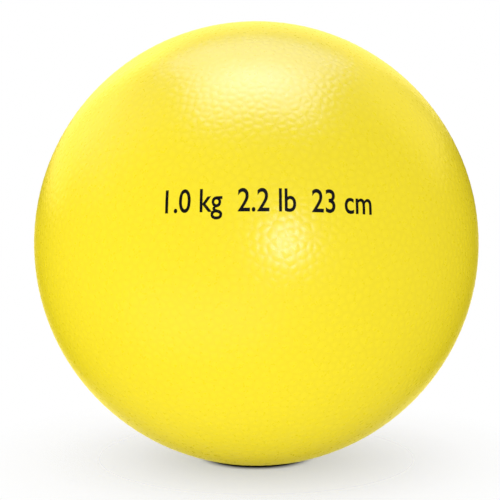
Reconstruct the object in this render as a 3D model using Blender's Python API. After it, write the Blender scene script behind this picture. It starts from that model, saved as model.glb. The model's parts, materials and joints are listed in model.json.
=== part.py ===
"""Pebble-grained soft medicine ball, 230 mm across, resting on the small flat foot that its own weight makes.

Frame: metres, +Z up, with the origin on the floor at the middle of the foot. -Y is the front, where a
weight mark is printed, and the valve is on the back, above the equator. The wall is built in layers
round an air space, and every layer is turned about the vertical axis, then cut for the valve.
"""

import math

import bmesh
import bpy

# Ball: a sphere that rests on a flat foot
BALL_RADIUS = 0.115
FOOT_RADIUS = 0.020
CENTRE_HEIGHT = math.sqrt(BALL_RADIUS**2 - FOOT_RADIUS**2)

# Clearance between neighbouring pieces
GAP = 0.0003

# Wall thicknesses, outside in
COVER_WALL = 0.0019
WEIGHT_WALL = 0.0014
CARCASS_WALL = 0.0006
WINDING_WALL = 0.0007
BLADDER_WALL = 0.0010

# Depth of each layer's outer surface below the ball's surface
WEIGHT_DEPTH = COVER_WALL + GAP
CARCASS_DEPTH = WEIGHT_DEPTH + WEIGHT_WALL + GAP
WINDING_DEPTH = CARCASS_DEPTH + CARCASS_WALL + GAP
BLADDER_DEPTH = WINDING_DEPTH + WINDING_WALL + GAP
AIR_DEPTH = BLADDER_DEPTH + BLADDER_WALL

# Valve: everything is turned about one axis that leaves the ball's centre towards the back.
# Heights along it are measured from the ball's surface, so they are negative inside the ball.
VALVE_ELEVATION = math.radians(25.0)
LAND_RADIUS = 0.009
LAND_DEPTH = 0.0008
TUBE_RADIUS = 0.0055
BORE_RADIUS = TUBE_RADIUS + GAP
BORE_LENGTH = 0.016
FLANGE_RADIUS = 0.013
FLANGE_TOP = -(AIR_DEPTH + 0.0020)
FLANGE_THICKNESS = 0.0014
BOSS_RADIUS = 0.0046
SEAT_LENGTH = 0.0215
SEAT_CHAMFER = 0.0004
POCKET_RADIUS = 0.0042
POCKET_DEPTH = 0.0013
SEAT_BORE_RADIUS = 0.0026
HEAD_RADIUS = POCKET_RADIUS - GAP
HEAD_THICKNESS = 0.0009
CORE_RADIUS = SEAT_BORE_RADIUS - GAP
CORE_LENGTH = 0.0195
TAIL_RADIUS = 0.0014
FUNNEL_RADIUS = 0.0013
FUNNEL_DEPTH = 0.0016
NEEDLE_HOLE_RADIUS = 0.0005
NEEDLE_HOLE_DEPTH = 0.0120

# Turning resolution
COVER_SIDES = 48
LAYER_SIDES = 32
VALVE_SIDES = 24

# Colours: red, green, blue, alpha
YELLOW_VINYL = (0.93, 0.78, 0.06, 1.0)
HEAVY_RUBBER = (0.16, 0.15, 0.14, 1.0)
CARCASS_RUBBER = (0.32, 0.28, 0.22, 1.0)
NYLON_THREAD = (0.86, 0.84, 0.78, 1.0)
BUTYL_BLACK = (0.035, 0.035, 0.038, 1.0)
VALVE_RUBBER = (0.06, 0.06, 0.06, 1.0)
CORE_RUBBER = (0.75, 0.72, 0.64, 1.0)


def clear_scene():
    """Take everything out of the scene."""
    for thing in list(bpy.data.objects):
        bpy.data.objects.remove(thing, do_unlink=True)


def surface_material(name, colour, roughness):
    """Material of one piece: its colour and roughness, with nothing metallic."""
    material = bpy.data.materials.new(name)
    material.use_nodes = True
    shader = material.node_tree.nodes["Principled BSDF"]
    shader.inputs["Base Color"].default_value = colour
    shader.inputs["Roughness"].default_value = roughness
    shader.inputs["Metallic"].default_value = 0.0
    material.diffuse_color = colour
    return material


def ball_outline(depth, sides):
    """Outline of the ball's shape at a depth below its surface: top, equator, edge and middle of the foot."""
    radius = BALL_RADIUS - depth
    foot_height = depth - CENTRE_HEIGHT
    foot_angle = math.acos(foot_height / radius)
    equator = 0.5 * math.pi
    steps = sides // 4
    above = [equator * step / steps for step in range(1, steps + 1)]
    below = [equator + (foot_angle - equator) * step / steps for step in range(1, steps + 1)]
    arc = [(radius * math.sin(angle), radius * math.cos(angle)) for angle in above + below]
    return [(0.0, radius)] + arc + [(0.0, foot_height)]


def turned_mesh(name, outline, sides):
    """Closed mesh turned about Z from (radius, height) points, listed down the outside.

    An outline that starts on the axis also ends on it. Any other is a loop, round a piece with a bore.
    """
    shape = bmesh.new()
    rings = []
    for radius, height in outline:
        count = sides if radius > 0.0 else 1
        turns = [2.0 * math.pi * side / sides for side in range(count)]
        rings.append([shape.verts.new((radius * math.cos(t), radius * math.sin(t), height)) for t in turns])
    is_loop = outline[0][0] > 0.0
    following = rings[1:] + rings[:1] if is_loop else rings[1:]
    for upper, lower in zip(rings, following):
        for side in range(sides):
            after = side + 1
            corners = [
                upper[side % len(upper)],
                lower[side % len(lower)],
                lower[after % len(lower)],
                upper[after % len(upper)],
            ]
            shape.faces.new(list(dict.fromkeys(corners)))
    mesh = bpy.data.meshes.new(name)
    shape.to_mesh(mesh)
    shape.free()
    mesh.shade_smooth()
    mesh.set_sharp_from_angle(angle=math.radians(30.0))
    return mesh


def add_object(name, mesh, parent=None):
    """Object for a mesh, under a parent if one is given."""
    thing = bpy.data.objects.new(name, mesh)
    thing.parent = parent
    bpy.context.scene.collection.objects.link(thing)
    return thing


def add_cutter(name, mesh, parent):
    """Object that only cuts others, so it is shown as a wire and never rendered."""
    cutter = add_object(name, mesh, parent)
    cutter.display_type = "WIRE"
    cutter.hide_render = True
    return cutter


def add_centre(name, location, tilt=0.0):
    """Empty that pieces hang from, tilted about X."""
    centre = bpy.data.objects.new(name, None)
    centre.empty_display_size = 0.02
    centre.location = location
    centre.rotation_euler = (tilt, 0.0, 0.0)
    bpy.context.scene.collection.objects.link(centre)
    return centre


def cut(thing, cutter):
    """Take a cutter's shape out of an object."""
    boolean = thing.modifiers.new(cutter.name, "BOOLEAN")
    boolean.operation = "DIFFERENCE"
    boolean.solver = "EXACT"
    boolean.object = cutter


def box_mesh(name, half_width, low, high):
    """Square block centred on the axis, from one height to another."""
    shape = bmesh.new()
    bmesh.ops.create_cube(shape, size=1.0)
    bmesh.ops.scale(shape, vec=(2.0 * half_width, 2.0 * half_width, high - low), verts=shape.verts)
    bmesh.ops.translate(shape, vec=(0.0, 0.0, 0.5 * (low + high)), verts=shape.verts)
    mesh = bpy.data.meshes.new(name)
    shape.to_mesh(mesh)
    shape.free()
    return mesh


def add_layer(name, depth, wall, ball_centre, valve_bore, material, sides=LAYER_SIDES):
    """Hollow layer of the wall, open only where the valve passes through it."""
    layer = add_object(name, turned_mesh(name, ball_outline(depth, sides), sides), ball_centre)
    layer.data.materials.append(material)
    hollow_mesh = turned_mesh(f"{name}_hollow", ball_outline(depth + wall, LAYER_SIDES), LAYER_SIDES)
    hollow = add_cutter(f"{name}_hollow", hollow_mesh, ball_centre)
    cut(layer, valve_bore)
    cut(layer, hollow)
    return layer


def add_weight_shells(ball_centre, valve_bore):
    """Two heavy rubber half shells that meet at the equator and give the ball its weight."""
    material = surface_material("heavy_rubber", HEAVY_RUBBER, 0.8)
    reach = 1.2 * BALL_RADIUS
    halves = (
        ("weight_shell_upper", -reach, 0.5 * GAP),
        ("weight_shell_lower", -0.5 * GAP, reach),
    )
    for name, low, high in halves:
        shell = add_layer(name, WEIGHT_DEPTH, WEIGHT_WALL, ball_centre, valve_bore, material)
        other_half = add_cutter(f"{name}_trim", box_mesh(f"{name}_trim", reach, low, high), ball_centre)
        cut(shell, other_half)


def add_valve_bore(valve_centre):
    """Cutter for the valve: a shallow round land in the cover, and the bore through every layer."""
    outline = [
        (0.0, LAND_RADIUS),
        (LAND_RADIUS, LAND_RADIUS),
        (LAND_RADIUS, -LAND_DEPTH),
        (BORE_RADIUS, -LAND_DEPTH),
        (BORE_RADIUS, -BORE_LENGTH),
        (0.0, -BORE_LENGTH),
    ]
    return add_cutter("valve_bore", turned_mesh("valve_bore", outline, VALVE_SIDES), valve_centre)


def add_valve_seat(valve_centre):
    """Rubber seat: a tube flush with the cover, a flange bonded inside the bladder, and an inner boss."""
    flange_bottom = FLANGE_TOP - FLANGE_THICKNESS
    outline = [
        (TUBE_RADIUS - SEAT_CHAMFER, -LAND_DEPTH),
        (TUBE_RADIUS, -LAND_DEPTH - SEAT_CHAMFER),
        (TUBE_RADIUS, FLANGE_TOP + 2.0 * SEAT_CHAMFER),
        (TUBE_RADIUS + 2.0 * SEAT_CHAMFER, FLANGE_TOP),
        (FLANGE_RADIUS, FLANGE_TOP - 0.5 * SEAT_CHAMFER),
        (FLANGE_RADIUS, FLANGE_TOP - 0.5 * FLANGE_THICKNESS),
        (BOSS_RADIUS + 4.0 * SEAT_CHAMFER, flange_bottom),
        (BOSS_RADIUS, flange_bottom - 4.0 * SEAT_CHAMFER),
        (BOSS_RADIUS, -SEAT_LENGTH + 2.0 * SEAT_CHAMFER),
        (BOSS_RADIUS - 2.0 * SEAT_CHAMFER, -SEAT_LENGTH),
        (SEAT_BORE_RADIUS, -SEAT_LENGTH),
        (SEAT_BORE_RADIUS, -LAND_DEPTH - POCKET_DEPTH),
        (POCKET_RADIUS, -LAND_DEPTH - POCKET_DEPTH),
        (POCKET_RADIUS, -LAND_DEPTH),
    ]
    seat = add_object("valve_seat", turned_mesh("valve_seat", outline, VALVE_SIDES), valve_centre)
    seat.data.materials.append(surface_material("valve_rubber", VALVE_RUBBER, 0.6))


def add_valve_core(valve_centre):
    """Self-sealing plug that pulls straight out of the seat: mushroom head, shank, tail and needle hole."""
    head_bottom = -LAND_DEPTH - POCKET_DEPTH + GAP
    head_top = head_bottom + HEAD_THICKNESS
    tail = head_top - CORE_LENGTH
    outline = [
        (HEAD_RADIUS - SEAT_CHAMFER, head_top),
        (HEAD_RADIUS, head_top - SEAT_CHAMFER),
        (HEAD_RADIUS, head_bottom),
        (CORE_RADIUS, head_bottom),
        (CORE_RADIUS, tail + 4.0 * SEAT_CHAMFER),
        (TAIL_RADIUS, tail),
        (0.0, tail),
    ]
    needle_hole = [
        (0.0, head_top - NEEDLE_HOLE_DEPTH),
        (NEEDLE_HOLE_RADIUS, head_top - NEEDLE_HOLE_DEPTH),
        (NEEDLE_HOLE_RADIUS, head_top - FUNNEL_DEPTH),
        (FUNNEL_RADIUS, head_top),
    ]
    mesh = turned_mesh("valve_core", needle_hole + outline, VALVE_SIDES)
    core = add_object("valve_core", mesh, valve_centre)
    core.data.materials.append(surface_material("core_rubber", CORE_RUBBER, 0.5))


def build_ball():
    """Lay the wall up from the cover inwards, then fit the valve through it."""
    clear_scene()
    ball_centre = add_centre("ball_centre", (0.0, 0.0, CENTRE_HEIGHT))
    valve_place = (
        0.0,
        BALL_RADIUS * math.cos(VALVE_ELEVATION),
        CENTRE_HEIGHT + BALL_RADIUS * math.sin(VALVE_ELEVATION),
    )
    valve_centre = add_centre("valve_centre", valve_place, tilt=VALVE_ELEVATION - 0.5 * math.pi)
    valve_bore = add_valve_bore(valve_centre)

    yellow = surface_material("yellow_vinyl", YELLOW_VINYL, 0.45)
    add_layer("cover", 0.0, COVER_WALL, ball_centre, valve_bore, yellow, COVER_SIDES)
    add_weight_shells(ball_centre, valve_bore)
    carcass = surface_material("carcass_rubber", CARCASS_RUBBER, 0.75)
    add_layer("carcass_skin", CARCASS_DEPTH, CARCASS_WALL, ball_centre, valve_bore, carcass)
    thread = surface_material("nylon_thread", NYLON_THREAD, 0.85)
    add_layer("thread_winding", WINDING_DEPTH, WINDING_WALL, ball_centre, valve_bore, thread)
    butyl = surface_material("butyl", BUTYL_BLACK, 0.6)
    add_layer("air_bladder", BLADDER_DEPTH, BLADDER_WALL, ball_centre, valve_bore, butyl)

    add_valve_seat(valve_centre)
    add_valve_core(valve_centre)


build_ball()
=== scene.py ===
"""Looks of the soft medicine ball: pebble-grained cover, printed weight mark, valve, wall layers and studio.

Everything is in metres in the CAD frame: +Z up, -Y the front. Places and sizes come from the frame's own
boxes and from the valve core's slide axis, so nothing here moves or resizes a CAD part.
"""

import json
import math

import bmesh
import bpy
import numpy as np
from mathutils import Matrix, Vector
from mathutils.bvhtree import BVHTree
from mathutils.kdtree import KDTree


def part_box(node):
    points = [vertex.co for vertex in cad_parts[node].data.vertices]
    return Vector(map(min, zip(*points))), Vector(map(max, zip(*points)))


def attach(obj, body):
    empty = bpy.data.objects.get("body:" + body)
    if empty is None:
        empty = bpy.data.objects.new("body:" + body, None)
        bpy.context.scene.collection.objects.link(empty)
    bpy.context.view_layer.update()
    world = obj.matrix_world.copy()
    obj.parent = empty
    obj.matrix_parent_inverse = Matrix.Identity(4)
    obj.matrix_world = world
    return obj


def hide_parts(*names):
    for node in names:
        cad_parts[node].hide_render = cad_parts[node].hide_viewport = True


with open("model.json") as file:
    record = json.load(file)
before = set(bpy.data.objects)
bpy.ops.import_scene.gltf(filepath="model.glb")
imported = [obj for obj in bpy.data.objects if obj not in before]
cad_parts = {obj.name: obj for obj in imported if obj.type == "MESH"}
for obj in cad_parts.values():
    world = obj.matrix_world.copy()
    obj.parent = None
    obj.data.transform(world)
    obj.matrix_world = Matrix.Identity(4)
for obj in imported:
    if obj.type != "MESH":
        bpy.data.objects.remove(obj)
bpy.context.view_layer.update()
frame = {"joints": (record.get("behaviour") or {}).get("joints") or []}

# ---------------------------------------------------------------- places that the frame gives
COVER_LOW, COVER_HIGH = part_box("cover")
BALL_RADIUS = 0.5 * (COVER_HIGH[0] - COVER_LOW[0])
CENTRE = Vector((0.0, 0.0, COVER_HIGH[2] - BALL_RADIUS))
VALVE_AXIS = Vector(frame["joints"][0]["axis"]).normalized()
BALL_BODY = "ball"
CORE_BODY = "core"

# ---------------------------------------------------------------- meshing
WELD = 1e-7
SHARP_ANGLE = 35.0

# ---------------------------------------------------------------- walls, with the CAD's own sizes
COVER_WALL = 0.0019
WALL_RINGS = 90
FOOT_SOFTNESS = 0.0005

# ---------------------------------------------------------------- grain of the cover
COVER_SUBDIVISIONS = 9
PEBBLE_SPACING = 0.00475
PEBBLE_HEIGHT = 0.0001
PEBBLE_SLOPE = 0.0042
PEBBLE_SHAKE = 0.38
PEBBLE_SETTLING = 3
PEBBLE_REACH = 1.15
PEBBLE_PUSH = 0.25
PEBBLE_UNEVENNESS = 0.25
PEBBLE_SEED = 11

# ---------------------------------------------------------------- valve
# These are the CAD's own sizes, but for the land's shoulder and rim and the plug's ribs, which only the looks
# have. Heights are along the valve's axis from the ball's surface, so they are negative inside the ball.
LAND_RADIUS = 0.009
LAND_DEPTH = 0.0008
LAND_SHOULDER = 0.0010
LAND_RIM = 0.00012
BORE_RADIUS = 0.0058
TUBE_RADIUS = 0.0055
FLANGE_RADIUS = 0.013
FLANGE_TOP = -0.0088
FLANGE_BOTTOM = -0.0102
BOSS_RADIUS = 0.0046
SEAT_TAIL = -0.0215
POCKET_RADIUS = 0.0042
POCKET_FLOOR = -0.0021
SEAT_BORE_RADIUS = 0.0026
HEAD_RADIUS = 0.0039
HEAD_TOP = -0.0009
HEAD_BOTTOM = -0.0018
PLUG_RADIUS = 0.0023
PLUG_TAIL = -0.0204
PLUG_TIP_RADIUS = 0.0014
FUNNEL_RADIUS = 0.0013
FUNNEL_DEPTH = 0.0016
NEEDLE_HOLE_RADIUS = 0.0005
NEEDLE_HOLE_DEPTH = 0.0120
RIB_PLACES = (-0.0050, -0.0075, -0.0100, -0.0125)
RIB_HALF = 0.0005
RIB_HEIGHT = 0.00014
VALVE_SIDES = 128


# ================================================================ small helpers
def smooth_step(low, high, value):
    """Rises smoothly from 0 at low to 1 at high."""
    share = np.clip((value - low) / (high - low), 0.0, 1.0)
    return share * share * (3.0 - 2.0 * share)


def add_piece(name, mesh, body, replaces=()):
    """Puts a mesh in the scene as a piece of the object that rides on a CAD body."""
    piece = bpy.data.objects.new(name, mesh)
    bpy.context.scene.collection.objects.link(piece)
    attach(piece, body)
    if replaces:
        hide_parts(*replaces)
    return piece


def mesh_of(shape, name, material, sharp_angle=None):
    """Smooth-shaded mesh of a bmesh, which it frees. Edges sharper than an angle in degrees stay sharp."""
    mesh = bpy.data.meshes.new(name)
    shape.to_mesh(mesh)
    shape.free()
    mesh.shade_smooth()
    if sharp_angle is not None:
        mesh.set_sharp_from_angle(angle=math.radians(sharp_angle))
    mesh.materials.append(material)
    return mesh


def bisect(shape, place, normal, clear_outer=False):
    """Cuts every face of a bmesh by a plane."""
    everything = shape.verts[:] + shape.edges[:] + shape.faces[:]
    return bmesh.ops.bisect_plane(
        shape, geom=everything, dist=WELD, plane_co=place, plane_no=normal, clear_outer=clear_outer
    )


def points_of(mesh):
    """A mesh's points as an array with one row each."""
    flat = np.empty(3 * len(mesh.vertices))
    mesh.vertices.foreach_get("co", flat)
    return flat.reshape(-1, 3)


# ================================================================ materials
CLOTH_PITCH = 0.0009
THREAD_PITCH = 0.0011
THREAD_TURNS = ((0.0, 62.0, 20.0), (75.0, 0.0, 130.0), (35.0, 118.0, 75.0))


class Nodes:
    """A new material and short ways to add and join its nodes."""

    def __init__(self, name):
        self.material = bpy.data.materials.new(name)
        self.material.use_nodes = True
        self.tree = self.material.node_tree
        self.shader = self.tree.nodes["Principled BSDF"]
        self.place = self.add("ShaderNodeTexCoord").outputs["Object"]

    def add(self, kind, **settings):
        """New node with its properties set."""
        node = self.tree.nodes.new(kind)
        for name, value in settings.items():
            setattr(node, name, value)
        return node

    def join(self, source, target):
        """Link from an output to an input."""
        self.tree.links.new(source, target)

    def set(self, **values):
        """Plain values on the shader's own sockets, named with underscores for spaces."""
        for name, value in values.items():
            self.shader.inputs[name.replace("_", " ")].default_value = value

    def noise(self, scale, detail=3.0, roughness=0.55):
        """Noise texture in object space. Scale is in features per metre."""
        node = self.add("ShaderNodeTexNoise")
        node.inputs["Scale"].default_value = scale
        node.inputs["Detail"].default_value = detail
        node.inputs["Roughness"].default_value = roughness
        self.join(self.place, node.inputs["Vector"])
        return node.outputs["Fac"]

    def waves(self, period, turn, wobble=1.5):
        """Fine parallel ridges in object space, a period in metres apart, turned by angles in degrees."""
        turned = self.add("ShaderNodeMapping")
        turned.inputs["Rotation"].default_value = [math.radians(angle) for angle in turn]
        self.join(self.place, turned.inputs["Vector"])
        node = self.add("ShaderNodeTexWave", wave_profile="SIN")
        node.inputs["Scale"].default_value = math.pi / 10.0 / period
        node.inputs["Distortion"].default_value = wobble
        node.inputs["Detail Scale"].default_value = 0.3
        self.join(turned.outputs["Vector"], node.inputs["Vector"])
        return node.outputs["Fac"]

    def mixed(self, operation, first, second):
        """Two values put together by a math operation. The second can be a plain number."""
        node = self.add("ShaderNodeMath", operation=operation)
        self.join(first, node.inputs[0])
        if isinstance(second, float):
            node.inputs[1].default_value = second
        else:
            self.join(second, node.inputs[1])
        return node.outputs["Value"]

    def ramp(self, source, stops):
        """Colour ramp through (place, colour) stops."""
        node = self.add("ShaderNodeValToRGB")
        elements = node.color_ramp.elements
        elements[0].position, elements[0].color = stops[0]
        elements[1].position, elements[1].color = stops[-1]
        for position, colour in stops[1:-1]:
            elements.new(position).color = colour
        self.join(source, node.inputs["Fac"])
        return node.outputs["Color"]

    def spread(self, source, low, high):
        """Maps the middle of a noise, 0.3 to 0.7, onto low to high."""
        node = self.add("ShaderNodeMapRange")
        node.inputs["From Min"].default_value = 0.3
        node.inputs["From Max"].default_value = 0.7
        node.inputs["To Min"].default_value = low
        node.inputs["To Max"].default_value = high
        self.join(source, node.inputs["Value"])
        return node.outputs["Result"]

    def bump(self, source, height, under=None):
        """Bump of a height in metres, on top of another bump if one is given."""
        node = self.add("ShaderNodeBump")
        node.inputs["Distance"].default_value = height
        self.join(source, node.inputs["Height"])
        if under is not None:
            self.join(under, node.inputs["Normal"])
        self.join(node.outputs["Normal"], self.shader.inputs["Normal"])
        return node.outputs["Normal"]


def vinyl_material():
    """Soft yellow vinyl: nearly even colour with painted shade, darker in the valleys between the pebbles and
    lighter on their tops, satin, with a fine skin texture between the pebbles.
    """
    nodes = Nodes("cover_vinyl")
    grain = nodes.add("ShaderNodeAttribute", attribute_name="grain").outputs["Fac"]
    # Painted shade: the colour follows the grain's height, a little darker in the valleys between the pebbles
    # and a little lighter on their tops, with a slow random tone over it.
    tone = nodes.mixed("ADD", grain, nodes.mixed("MULTIPLY", nodes.noise(28.0, detail=2.0), 0.5))
    shaded_valley, lit_top = (0.89, 0.72, 0.009, 1.0), (0.92, 0.75, 0.009, 1.0)
    nodes.join(nodes.ramp(tone, [(0.2, shaded_valley), (1.0, lit_top)]), nodes.shader.inputs["Base Color"])
    nodes.join(nodes.spread(nodes.noise(420.0, detail=4.0), 0.26, 0.33), nodes.shader.inputs["Roughness"])
    skin = nodes.bump(nodes.noise(2600.0, detail=3.0), 0.000012)
    nodes.bump(nodes.noise(700.0, detail=2.0), 0.00002, under=skin)
    nodes.set(IOR=1.5, Specular_IOR_Level=0.5)
    return nodes.material


def ink_material():
    """Black screen ink with a slight unevenness."""
    nodes = Nodes("black_ink")
    tone = nodes.noise(900.0, detail=4.0)
    colour = nodes.ramp(tone, [(0.3, (0.004, 0.003, 0.002, 1.0)), (0.7, (0.008, 0.006, 0.004, 1.0))])
    nodes.join(colour, nodes.shader.inputs["Base Color"])
    nodes.join(nodes.spread(nodes.noise(500.0), 0.52, 0.66), nodes.shader.inputs["Roughness"])
    nodes.bump(nodes.noise(2600.0), 0.00002)
    nodes.set(Specular_IOR_Level=0.2)
    return nodes.material


def rubber_material(name, dark, light, roughness, grain=1800.0, depth=0.00004):
    """Plain rubber between two tones, with a fine matt grain."""
    nodes = Nodes(name)
    colour = nodes.ramp(nodes.noise(160.0, detail=5.0), [(0.3, (*dark, 1.0)), (0.7, (*light, 1.0))])
    nodes.join(colour, nodes.shader.inputs["Base Color"])
    worn = nodes.spread(nodes.noise(300.0), roughness - 0.07, roughness + 0.07)
    nodes.join(worn, nodes.shader.inputs["Roughness"])
    nodes.bump(nodes.noise(grain, detail=5.0), depth)
    return nodes.material


def filled_rubber_material():
    """Heavy rubber of the weight shells, dull and dark, with pale grains of its mineral filler."""
    nodes = Nodes("mineral_filled_rubber")
    cells = nodes.add("ShaderNodeTexVoronoi", feature="F1")
    cells.inputs["Scale"].default_value = 700.0
    nodes.join(nodes.place, cells.inputs["Vector"])
    worn = nodes.mixed("MULTIPLY", nodes.noise(90.0, detail=5.0), 0.6)
    tone = nodes.mixed("ADD", worn, nodes.mixed("MULTIPLY", cells.outputs["Distance"], 0.5))
    stops = [(0.2, (0.30, 0.28, 0.25, 1.0)), (0.38, (0.15, 0.14, 0.13, 1.0)), (0.8, (0.10, 0.095, 0.09, 1.0))]
    nodes.join(nodes.ramp(tone, stops), nodes.shader.inputs["Base Color"])
    nodes.join(nodes.spread(nodes.noise(300.0), 0.72, 0.88), nodes.shader.inputs["Roughness"])
    nodes.bump(cells.outputs["Distance"], 0.0001, under=nodes.bump(nodes.noise(1500.0, detail=5.0), 0.00006))
    return nodes.material


def rubbered_cloth_material():
    """Carcass skin: brown rubber with the print of the cloth that it was pressed on."""
    nodes = Nodes("rubbered_cloth")
    warp = nodes.waves(CLOTH_PITCH, (0.0, 0.0, 0.0))
    weft = nodes.waves(CLOTH_PITCH, (0.0, 90.0, 0.0))
    weave = nodes.mixed("MULTIPLY", warp, weft)
    tone = nodes.mixed("ADD", nodes.mixed("MULTIPLY", weave, 0.4), nodes.noise(60.0, detail=5.0))
    stops = [(0.3, (0.22, 0.19, 0.145, 1.0)), (0.6, (0.32, 0.28, 0.22, 1.0)), (1.0, (0.40, 0.35, 0.28, 1.0))]
    nodes.join(nodes.ramp(tone, stops), nodes.shader.inputs["Base Color"])
    nodes.join(nodes.spread(nodes.noise(200.0), 0.66, 0.82), nodes.shader.inputs["Roughness"])
    nodes.bump(weave, 0.00008, under=nodes.bump(nodes.noise(1200.0), 0.00004))
    return nodes.material


def thread_material():
    """Nylon thread wound over the bladder in every direction: pale threads, darker in the gaps between them,
    with random stains.
    """
    nodes = Nodes("wound_nylon")
    laid = nodes.waves(THREAD_PITCH, (0.0, 0.0, 0.0))
    for turn in THREAD_TURNS:
        laid = nodes.mixed("MAXIMUM", laid, nodes.waves(THREAD_PITCH, turn))
    stain = nodes.mixed("MULTIPLY", nodes.noise(45.0), 0.4)
    tone = nodes.mixed("ADD", nodes.mixed("MULTIPLY", laid, 0.7), stain)
    stops = [(0.3, (0.50, 0.45, 0.36, 1.0)), (0.75, (0.80, 0.77, 0.70, 1.0)), (1.0, (0.90, 0.88, 0.83, 1.0))]
    nodes.join(nodes.ramp(tone, stops), nodes.shader.inputs["Base Color"])
    nodes.join(nodes.spread(nodes.noise(500.0), 0.6, 0.8), nodes.shader.inputs["Roughness"])
    nodes.bump(laid, 0.00022)
    nodes.set(Sheen_Weight=0.15)
    return nodes.material


# ================================================================ turned shapes
def turned_shape(outline):
    """Surface turned about the valve's axis from (radius, height) points. An end on the axis closes there."""
    side = Vector((1.0, 0.0, 0.0))
    other = VALVE_AXIS.cross(side)
    shape = bmesh.new()
    rings = []
    for radius, height in outline:
        middle = CENTRE + (BALL_RADIUS + height) * VALVE_AXIS
        turns = [2.0 * math.pi * step / VALVE_SIDES for step in range(VALVE_SIDES if radius > 0.0 else 1)]
        ring = [middle + radius * (math.cos(turn) * side + math.sin(turn) * other) for turn in turns]
        rings.append([shape.verts.new(place) for place in ring])
    for upper, lower in zip(rings, rings[1:]):
        for step in range(VALVE_SIDES):
            after = step + 1
            corners = (
                upper[step % len(upper)],
                lower[step % len(lower)],
                lower[after % len(lower)],
                upper[after % len(upper)],
            )
            shape.faces.new(list(dict.fromkeys(corners)))
    return shape


def add_wall_surface(shape, depth):
    """Adds the ball's shape at a depth below its surface, with the valve's bore open and the foot flat."""
    radius = BALL_RADIUS - depth
    start = math.asin(BORE_RADIUS / radius)
    angles = [start + (math.pi - start) * step / WALL_RINGS for step in range(WALL_RINGS)]
    arc = [(radius * math.sin(angle), radius * math.cos(angle) - BALL_RADIUS) for angle in angles]
    surface = turned_shape(arc + [(0.0, -radius - BALL_RADIUS)])
    for vert in surface.verts:
        vert.co.z = depth + float(softly_above_floor(vert.co.z - depth))
    mesh = bpy.data.meshes.new("wall_surface")
    surface.to_mesh(mesh)
    surface.free()
    shape.from_mesh(mesh)
    bpy.data.meshes.remove(mesh)


def close_bore(shape):
    """Joins the two open rims of a wall, its outer and its inner one, with the wall of the bore."""
    bmesh.ops.bridge_loops(shape, edges=[edge for edge in shape.edges if edge.is_boundary])
    bmesh.ops.recalc_face_normals(shape, faces=shape.faces)


def softly_above_floor(height):
    """Heights kept above the floor, with a soft bend where the foot begins."""
    return 0.5 * (height + np.sqrt(height**2 + FOOT_SOFTNESS**2))


# ================================================================ cover
def spiral_directions(count):
    """Unit vectors spread evenly over a sphere along a spiral."""
    step = np.arange(count) + 0.5
    height = 1.0 - 2.0 * step / count
    turn = math.pi * (1.0 + math.sqrt(5.0)) * step
    ring = np.sqrt(1.0 - height**2)
    return np.column_stack((ring * np.cos(turn), ring * np.sin(turn), height))


def unit(vectors):
    """Vectors scaled to length 1."""
    return vectors / np.linalg.norm(vectors, axis=1, keepdims=True)


def tree_of(points):
    """Search tree over points."""
    tree = KDTree(len(points))
    for index, point in enumerate(points):
        tree.insert(point, index)
    tree.balance()
    return tree


def pebble_directions(random):
    """Unit vectors to the pebbles: an even spiral, shaken, then pushed apart until it packs loosely."""
    spacing = PEBBLE_SPACING / BALL_RADIUS
    count = round(4.0 * math.pi / (spacing**2 * math.sin(math.radians(60.0))))
    points = spiral_directions(count)
    points = unit(points + random.normal(scale=PEBBLE_SHAKE * spacing, size=points.shape))
    reach = PEBBLE_REACH * spacing
    for _ in range(PEBBLE_SETTLING):
        tree = tree_of(points)
        near = np.array([[found[1] for found in tree.find_n(point, 7)[1:]] for point in points])
        apart = points[:, None, :] - points[near]
        gap = np.linalg.norm(apart, axis=2, keepdims=True)
        push = apart / gap * np.clip(reach - gap, 0.0, None)
        points = unit(points + PEBBLE_PUSH * push.sum(axis=1))
    return points


def grain_heights(directions):
    """Height of the grain in each direction: low pebbles of uneven height that meet in soft valleys."""
    random = np.random.default_rng(PEBBLE_SEED)
    pebbles = pebble_directions(random)
    heights = PEBBLE_HEIGHT * random.uniform(1.0 - PEBBLE_UNEVENNESS, 1.0 + PEBBLE_UNEVENNESS, len(pebbles))
    tree = tree_of(pebbles)
    found = [tree.find_n(direction, 2) for direction in directions]
    pebble = np.array([first[1] for first, _ in found])
    lead = np.array([second[2] - first[2] for first, second in found]) * BALL_RADIUS
    share = 1.0 - np.clip(lead / PEBBLE_SLOPE, 0.0, 1.0)
    return heights[pebble] * (1.0 - share**2) ** 1.5


def valve_distance(points):
    """Distance of each point from the valve's axis, in metres. Points behind the centre count as far off."""
    axis = np.array(VALVE_AXIS)
    along = points @ axis
    across = np.linalg.norm(points - along[:, None] * axis, axis=1)
    return np.where(along > 0.0, across, 1.0)


def cover_points(directions, grain):
    """Places of the cover's surface round the ball's centre, with its grain, valve land and foot."""
    from_valve = valve_distance(directions * BALL_RADIUS)
    clear = smooth_step(LAND_RADIUS + LAND_SHOULDER, LAND_RADIUS + 3.0 * LAND_SHOULDER, from_valve)
    land = 1.0 - smooth_step(LAND_RADIUS - 0.2 * LAND_SHOULDER, LAND_RADIUS + 0.8 * LAND_SHOULDER, from_valve)
    from_rim = (from_valve - LAND_RADIUS - 1.9 * LAND_SHOULDER) / (0.7 * LAND_SHOULDER)
    rim = LAND_RIM * np.exp(-(from_rim**2))
    radius = BALL_RADIUS - PEBBLE_HEIGHT + grain * clear - LAND_DEPTH * land + rim
    points = directions * radius[:, None]
    points[:, 2] = softly_above_floor(points[:, 2] + CENTRE.z) - CENTRE.z
    return points


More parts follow.
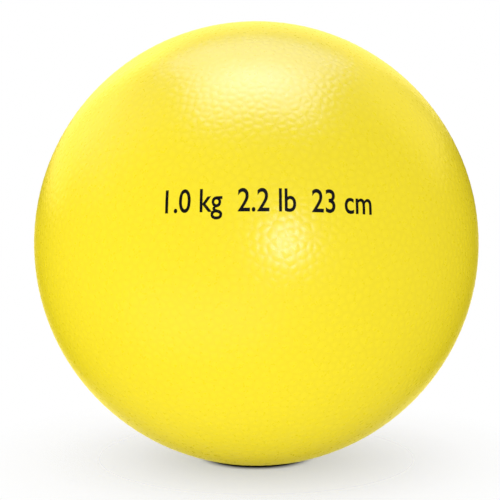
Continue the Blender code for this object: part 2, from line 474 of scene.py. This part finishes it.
def cut_bore(shape):
    """Opens the valve's hole in the cover and rounds its rim to the true radius."""
    flat = valve_distance(np.array([vert.co for vert in shape.verts]))
    inside = [vert for vert, distance in zip(shape.verts, flat) if distance < BORE_RADIUS]
    bmesh.ops.delete(shape, geom=inside, context="VERTS")
    for vert in [vert for vert in shape.verts if vert.is_boundary]:
        across = (vert.co - vert.co.dot(VALVE_AXIS) * VALVE_AXIS).normalized()
        vert.co = (BALL_RADIUS - LAND_DEPTH) * VALVE_AXIS + BORE_RADIUS * across


def build_cover():
    """The pebble-grained cover, one moulded piece with no seam."""
    shape = bmesh.new()
    bmesh.ops.create_icosphere(shape, subdivisions=COVER_SUBDIVISIONS, radius=1.0)
    mesh = bpy.data.meshes.new("pebbled_cover")
    shape.to_mesh(mesh)
    shape.free()
    directions = unit(points_of(mesh))
    grain = grain_heights(directions)
    mesh.vertices.foreach_set("co", cover_points(directions, grain).ravel())
    # The grain's height share goes on the mesh for the cover's painted shade: darker in the valleys and
    # lighter on the pebble tops.
    mesh.attributes.new("grain", "FLOAT", "POINT").data.foreach_set("value", grain / PEBBLE_HEIGHT)
    shape = bmesh.new()
    shape.from_mesh(mesh)
    cut_bore(shape)
    bmesh.ops.translate(shape, vec=CENTRE, verts=shape.verts)
    add_wall_surface(shape, COVER_WALL)
    close_bore(shape)
    bpy.data.meshes.remove(mesh)
    mesh = mesh_of(shape, "pebbled_cover", vinyl_material())
    return add_piece("pebbled_cover", mesh, BALL_BODY, ["cover"])


# ================================================================ valve
def rounded(outline, reach, steps=4):
    """Outline with every corner but its two ends rounded by an arc that reaches at most so far each way."""
    points = [Vector(point) for point in outline]
    soft = [points[0]]
    for before, corner, after in zip(points, points[1:], points[2:]):
        back, on = before - corner, after - corner
        start = corner + back.normalized() * min(reach, 0.45 * back.length)
        stop = corner + on.normalized() * min(reach, 0.45 * on.length)
        for step in range(steps + 1):
            share = step / steps
            soft.append(start.lerp(corner, share).lerp(corner.lerp(stop, share), share))
    return soft + [points[-1]]


def turned_piece(name, outline, material):
    """Closed mesh turned about the valve's axis, from an outline that ends on the axis or where it starts."""
    shape = turned_shape(outline)
    bmesh.ops.remove_doubles(shape, verts=shape.verts, dist=WELD)
    bmesh.ops.recalc_face_normals(shape, faces=shape.faces)
    return mesh_of(shape, name, material, SHARP_ANGLE)


def build_valve_seat():
    """Black rubber seat: a flush tube with a soft lip round its pocket, a bonded flange and an inner boss."""
    lip = 0.5 * (TUBE_RADIUS + POCKET_RADIUS)
    outline = [
        (lip, -LAND_DEPTH + 0.0001),
        (lip + 0.0003, -LAND_DEPTH + 0.00006),
        (TUBE_RADIUS, -LAND_DEPTH - 0.0001),
        (TUBE_RADIUS, FLANGE_TOP + 0.0012),
        (TUBE_RADIUS + 0.0012, FLANGE_TOP),
        (FLANGE_RADIUS, FLANGE_TOP - 0.0002),
        (FLANGE_RADIUS, FLANGE_TOP - 0.0008),
        (BOSS_RADIUS + 0.0016, FLANGE_BOTTOM),
        (BOSS_RADIUS, FLANGE_BOTTOM - 0.0016),
        (BOSS_RADIUS, SEAT_TAIL),
        (SEAT_BORE_RADIUS, SEAT_TAIL),
        (SEAT_BORE_RADIUS, POCKET_FLOOR),
        (POCKET_RADIUS, POCKET_FLOOR),
        (POCKET_RADIUS, -LAND_DEPTH),
        (lip - 0.0003, -LAND_DEPTH + 0.00006),
        (lip, -LAND_DEPTH + 0.0001),
    ]
    black = rubber_material("seat_rubber", (0.030, 0.030, 0.031), (0.075, 0.074, 0.072), 0.55)
    mesh = turned_piece("valve_seat_rubber", rounded(outline, 0.0004), black)
    add_piece("valve_seat_rubber", mesh, BALL_BODY, ["valve_seat"])


def build_valve_plug():
    """Cream rubber plug: a low head with a needle funnel, a ribbed shank and a tapered tail."""
    outline = [
        (0.0, HEAD_TOP - NEEDLE_HOLE_DEPTH),
        (NEEDLE_HOLE_RADIUS, HEAD_TOP - NEEDLE_HOLE_DEPTH),
        (NEEDLE_HOLE_RADIUS, HEAD_TOP - FUNNEL_DEPTH),
        (FUNNEL_RADIUS - 0.0002, HEAD_TOP - 0.0003),
        (FUNNEL_RADIUS, HEAD_TOP),
        (FUNNEL_RADIUS + 0.0005, HEAD_TOP),
        (FUNNEL_RADIUS + 0.0007, HEAD_TOP - 0.00012),
        (FUNNEL_RADIUS + 0.0009, HEAD_TOP - 0.00012),
        (FUNNEL_RADIUS + 0.0011, HEAD_TOP),
        (HEAD_RADIUS, HEAD_TOP - 0.0001),
        (HEAD_RADIUS, HEAD_BOTTOM),
        (PLUG_RADIUS, HEAD_BOTTOM),
    ]
    for place in RIB_PLACES:
        outline += [
            (PLUG_RADIUS, place + RIB_HALF),
            (PLUG_RADIUS + RIB_HEIGHT, place),
            (PLUG_RADIUS, place - RIB_HALF),
        ]
    outline += [(PLUG_RADIUS, PLUG_TAIL + 0.0016), (PLUG_TIP_RADIUS, PLUG_TAIL), (0.0, PLUG_TAIL)]
    cream = rubber_material("plug_rubber", (0.66, 0.62, 0.53), (0.76, 0.73, 0.65), 0.45, depth=0.00002)
    mesh = turned_piece("valve_plug", rounded(outline, 0.0003), cream)
    add_piece("valve_plug", mesh, CORE_BODY, ["valve_core"])


# ================================================================ printed mark
# Yaw and latitude, in degrees, are about an upright axis that leans back by the elevation
MARK_WORDS = "1.0 kg  2.2 lb  23 cm"
FIGURE_SHARE = 0.73
MARK_HEIGHT = 0.0116
MARK_LENGTH = 0.1015
MARK_STROKE = 0.00016
MARK_ELEVATION = 14.0
MARK_LATITUDE = 3.3
MARK_YAW = 3.1
MARK_CELL = 0.0006
MARK_PROUD = 0.00004


def flat_words():
    """The mark's words as a flat mesh, with its figures at their height."""
    words = bpy.data.curves.new("mark_words", "FONT")
    words.body = MARK_WORDS
    words.align_x = "CENTER"
    words.align_y = "CENTER"
    words.resolution_u = 8
    words.size = MARK_HEIGHT / FIGURE_SHARE
    words.offset = MARK_STROKE
    holder = bpy.data.objects.new("mark_words", words)
    bpy.context.scene.collection.objects.link(holder)
    bpy.context.view_layer.update()
    mesh = bpy.data.meshes.new_from_object(holder.evaluated_get(bpy.context.evaluated_depsgraph_get()))
    bpy.data.objects.remove(holder)
    return mesh


def build_mark(cover):
    """Generic weight and size mark in black ink, lying on the cover's grain."""
    shape = bmesh.new()
    shape.from_mesh(flat_words())
    spread_x = [vert.co.x for vert in shape.verts]
    spread_y = [vert.co.y for vert in shape.verts]
    middle = (0.5 * (min(spread_x) + max(spread_x)), 0.5 * (min(spread_y) + max(spread_y)))
    stretch = MARK_LENGTH / (max(spread_x) - min(spread_x))
    for vert in shape.verts:
        vert.co = Vector(((vert.co.x - middle[0]) * stretch, vert.co.y - middle[1], 0.0))
    bmesh.ops.triangulate(shape, faces=shape.faces)
    for axis, reach in ((0, 0.5 * MARK_LENGTH), (1, MARK_HEIGHT)):
        normal = Vector((1.0, 0.0, 0.0)) if axis == 0 else Vector((0.0, 1.0, 0.0))
        for place in np.arange(-reach, reach, MARK_CELL):
            bisect(shape, normal * place, normal)
    wrap_on_cover(shape, cover)
    add_piece("weight_mark", mesh_of(shape, "weight_mark", ink_material()), BALL_BODY)


def wrap_on_cover(shape, cover):
    """Bends flat artwork round the ball and drops it onto the cover's surface."""
    corners = [vert.co for vert in cover.data.vertices]
    surface = BVHTree.FromPolygons(corners, [face.vertices for face in cover.data.polygons])
    tilt = math.radians(MARK_ELEVATION)
    for vert in shape.verts:
        yaw = math.radians(MARK_YAW) + vert.co.x / BALL_RADIUS / math.cos(math.radians(MARK_LATITUDE))
        latitude = math.radians(MARK_LATITUDE) + vert.co.y / BALL_RADIUS
        across = math.sin(yaw) * math.cos(latitude)
        towards = math.cos(yaw) * math.cos(latitude)
        up = math.sin(latitude)
        forward = -(towards * math.cos(tilt) - up * math.sin(tilt))
        direction = Vector((across, forward, towards * math.sin(tilt) + up * math.cos(tilt)))
        hit = surface.ray_cast(CENTRE + 1.1 * BALL_RADIUS * direction, -direction)[0]
        vert.co = hit + MARK_PROUD * direction


# ================================================================ wall layers under the cover
# Layer, then the depths of its outer and inner surface below the ball's surface, as in the CAD
LAYERS = {
    "weight_shell_upper": (0.0022, 0.0036),
    "weight_shell_lower": (0.0022, 0.0036),
    "carcass_skin": (0.0039, 0.0045),
    "thread_winding": (0.0048, 0.0055),
    "air_bladder": (0.0058, 0.0068),
}
SHELL_GAP = 0.0003


def half_of(shape, keep_upper):
    """Keeps the half of a layer above or below the ball's equator, and closes its cut edge."""
    up = Vector((0.0, 0.0, 1.0 if keep_upper else -1.0))
    place = CENTRE + 0.5 * SHELL_GAP * up
    cut = bisect(shape, place, -up, clear_outer=True)
    rim = [thing for thing in cut["geom_cut"] if isinstance(thing, bmesh.types.BMEdge)]
    bmesh.ops.bridge_loops(shape, edges=rim)
    bmesh.ops.recalc_face_normals(shape, faces=shape.faces)


def build_layer(name, material):
    """One hidden layer of the wall: a smooth hollow shell with the valve's bore and its own flat foot."""
    shape = bmesh.new()
    for depth in LAYERS[name]:
        add_wall_surface(shape, depth)
    close_bore(shape)
    if name.startswith("weight_shell"):
        half_of(shape, name.endswith("upper"))
    mesh = mesh_of(shape, f"{name}_layer", material, SHARP_ANGLE)
    add_piece(f"{name}_layer", mesh, BALL_BODY, [name])


def build_layers():
    """Every hidden layer of the wall, from the weight shells inwards."""
    filled = filled_rubber_material()
    build_layer("weight_shell_upper", filled)
    build_layer("weight_shell_lower", filled)
    build_layer("carcass_skin", rubbered_cloth_material())
    build_layer("thread_winding", thread_material())
    butyl = rubber_material("bladder_butyl", (0.025, 0.025, 0.027), (0.045, 0.045, 0.048), 0.5)
    build_layer("air_bladder", butyl)


# ================================================================ studio
CAMERA_ELEVATION = 8.0
CAMERA_DISTANCE = 1.2
BALL_SHARE = 0.8896
CAMERA_AIM_RIGHT = -0.00326
CAMERA_AIM_UP = -0.00336
FLOOR_RADIUS = 0.16
# Cover and colour of the floor by the share of its radius, a painted shadow: near black where the ball
# touches it, darker and more opaque near the ball and fading outwards, and bluish near the ball, against the
# yellow light that the ball throws on it
FLOOR_COVER_PAINTED_SHADOW = ((0.0, 1.0), (0.15, 1.0), (0.19, 0.50), (0.45, 0.36), (0.72, 0.13), (1.0, 0.0))
FLOOR_TONES_PAINTED_SHADOW = (
    (0.0, (0.02, 0.02, 0.02)),
    (0.145, (0.02, 0.02, 0.02)),
    (0.195, (0.45, 0.50, 0.98)),
    (0.45, (0.62, 0.66, 0.95)),
    (0.8, (0.80, 0.82, 0.88)),
)
WORLD_LIGHT = 0.9
WORLD_GLEAM = 0.0
# Softboxes by what they do, each with its name, azimuth, elevation, distance, width, height and power in
# watts. A fill lights the ball and never shows in its shine. A gleam shows only in its shine: a cool one is a
# lamp of the studio, and a warm one is the ball's own colour coming back from the white surroundings.
SOFTBOXES = {
    "fill": (
        ("front", 14.0, 9.0, 1.6, 0.5, 0.6, 2.5),
        ("left_side", -100.0, 35.0, 1.8, 0.8, 1.2, 7.0),
        ("back_right", 130.0, 50.0, 1.7, 1.1, 0.9, 1.5),
        ("floor_bounce", -30.0, -30.0, 1.2, 1.6, 0.6, 4.0),
    ),
    "cool": (
        ("ceiling", 0.0, 90.0, 1.3, 1.1, 0.8, 16.0),
        ("ceiling_lamp", 180.0, 86.0, 1.3, 0.5, 0.3, 2.0),
        ("ceiling_back", 180.0, 60.0, 1.3, 1.2, 0.6, 7.0),
        ("window", 14.0, 9.0, 1.6, 0.32, 0.42, 7.0),
        ("left_panel", -120.0, 35.0, 1.7, 1.0, 1.0, 1.5),
    ),
    "warm": (
        ("back_wall", 180.0, 20.0, 1.8, 1.6, 1.0, 9.0),
        ("left_wall", -140.0, 20.0, 1.8, 1.3, 1.1, 7.0),
        ("right_wall", 130.0, 30.0, 1.7, 1.1, 1.0, 4.0),
        ("back_floor", 180.0, -18.0, 1.8, 1.4, 0.8, 6.0),
    ),
}
LAMP_COLOURS = {"fill": (1.0, 1.0, 1.0), "cool": (0.5, 0.6, 1.0), "warm": (1.0, 0.88, 0.3)}


def direction_of(azimuth, elevation):
    """Unit vector from the ball. Azimuth 0 is towards the front, -Y, and 90 is to the right, +X."""
    turn, rise = math.radians(azimuth), math.radians(elevation)
    return Vector((math.sin(turn) * math.cos(rise), -math.cos(turn) * math.cos(rise), math.sin(rise)))


def add_camera():
    """Long lens from the front, a little above the ball's middle."""
    data = bpy.data.cameras.new("camera")
    camera = bpy.data.objects.new("camera", data)
    bpy.context.scene.collection.objects.link(camera)
    back = direction_of(0.0, CAMERA_ELEVATION)
    up = Vector((0.0, math.sin(math.radians(CAMERA_ELEVATION)), math.cos(math.radians(CAMERA_ELEVATION))))
    aim = CENTRE + CAMERA_AIM_RIGHT * Vector((1.0, 0.0, 0.0)) + CAMERA_AIM_UP * up
    camera.location = aim + CAMERA_DISTANCE * back
    camera.rotation_euler = (-back).to_track_quat("-Z", "Y").to_euler()
    ball_angle = math.asin(BALL_RADIUS / CAMERA_DISTANCE)
    data.lens = 0.5 * data.sensor_width * BALL_SHARE / math.tan(ball_angle)
    data.clip_start = 0.05
    data.clip_end = 30.0
    bpy.context.scene.camera = camera


def add_softbox(kind, name, azimuth, elevation, distance, width, height, power):
    """Rectangular softbox that faces the ball. A fill only lights it, and the other kinds only gleam."""
    away = direction_of(azimuth, elevation)
    data = bpy.data.lights.new(f"{name}_{kind}", "AREA")
    data.shape = "RECTANGLE"
    data.size, data.size_y = width, height
    data.energy = power
    data.color = LAMP_COLOURS[kind]
    light = bpy.data.objects.new(f"{name}_{kind}", data)
    bpy.context.scene.collection.objects.link(light)
    light.location = CENTRE + distance * away
    light.rotation_euler = away.to_track_quat("Z", "Y").to_euler()
    light.visible_camera = False
    light.visible_diffuse = kind == "fill"
    light.visible_glossy = kind != "fill"


def add_world():
    """White studio all round: pure white to the camera, softer as light, and softest in reflections."""
    world = bpy.data.worlds.new("studio")
    world.use_nodes = True
    nodes, links = world.node_tree.nodes, world.node_tree.links
    background = nodes["Background"]
    background.inputs["Color"].default_value = (1.0, 1.0, 1.0, 1.0)
    path = nodes.new("ShaderNodeLightPath")
    strength = WORLD_LIGHT
    for ray, value in (("Is Glossy Ray", WORLD_GLEAM), ("Is Camera Ray", 1.0)):
        chosen = nodes.new("ShaderNodeMix")
        links.new(path.outputs[ray], chosen.inputs["Factor"])
        chosen.inputs["B"].default_value = value
        if isinstance(strength, float):
            chosen.inputs["A"].default_value = strength
        else:
            links.new(strength, chosen.inputs["A"])
        strength = chosen.outputs["Result"]
    links.new(strength, background.inputs["Strength"])
    bpy.context.scene.world = world


def add_floor():
    """Pale floor under the ball that fades into the white of the studio, so that no horizon shows. Round the
    ball its colour and cover are a painted shadow, near black where the ball touches it.
    """
    shape = bmesh.new()
    bmesh.ops.create_circle(shape, cap_ends=True, segments=96, radius=FLOOR_RADIUS)
    mesh = bpy.data.meshes.new("floor")
    shape.to_mesh(mesh)
    shape.free()
    floor = bpy.data.objects.new("floor", mesh)
    bpy.context.scene.collection.objects.link(floor)
    nodes = Nodes("pale_floor_painted_shadow")
    reach = nodes.add("ShaderNodeVectorMath", operation="LENGTH")
    nodes.join(nodes.place, reach.inputs[0])
    share = nodes.mixed("DIVIDE", reach.outputs["Value"], FLOOR_RADIUS)
    uneven = nodes.mixed("MULTIPLY", nodes.noise(30.0), 0.01)
    # Painted shadow: near black where the ball touches the floor, then darker and bluish round the ball,
    # paler outwards, with a faint random tone.
    tones = [(place, (*tone, 1.0)) for place, tone in FLOOR_TONES_PAINTED_SHADOW]
    nodes.join(nodes.ramp(nodes.mixed("ADD", share, uneven), tones), nodes.shader.inputs["Base Color"])
    # The cover fades out from the ball, so that the painted shadow melts into the white of the studio.
    covers = [(place, (cover, cover, cover, 1.0)) for place, cover in FLOOR_COVER_PAINTED_SHADOW]
    nodes.join(nodes.ramp(share, covers), nodes.shader.inputs["Alpha"])
    nodes.set(Roughness=0.9, Specular_IOR_Level=0.1)
    mesh.materials.append(nodes.material)


def build_studio():
    """Camera, floor, surroundings and lights."""
    add_camera()
    add_floor()
    add_world()
    for kind, softboxes in SOFTBOXES.items():
        for softbox in softboxes:
            add_softbox(kind, *softbox)
    bpy.context.scene.view_settings.view_transform = "Standard"


# ================================================================ everything
cover = build_cover()
build_valve_seat()
build_valve_plug()
build_mark(cover)
build_layers()
build_studio()
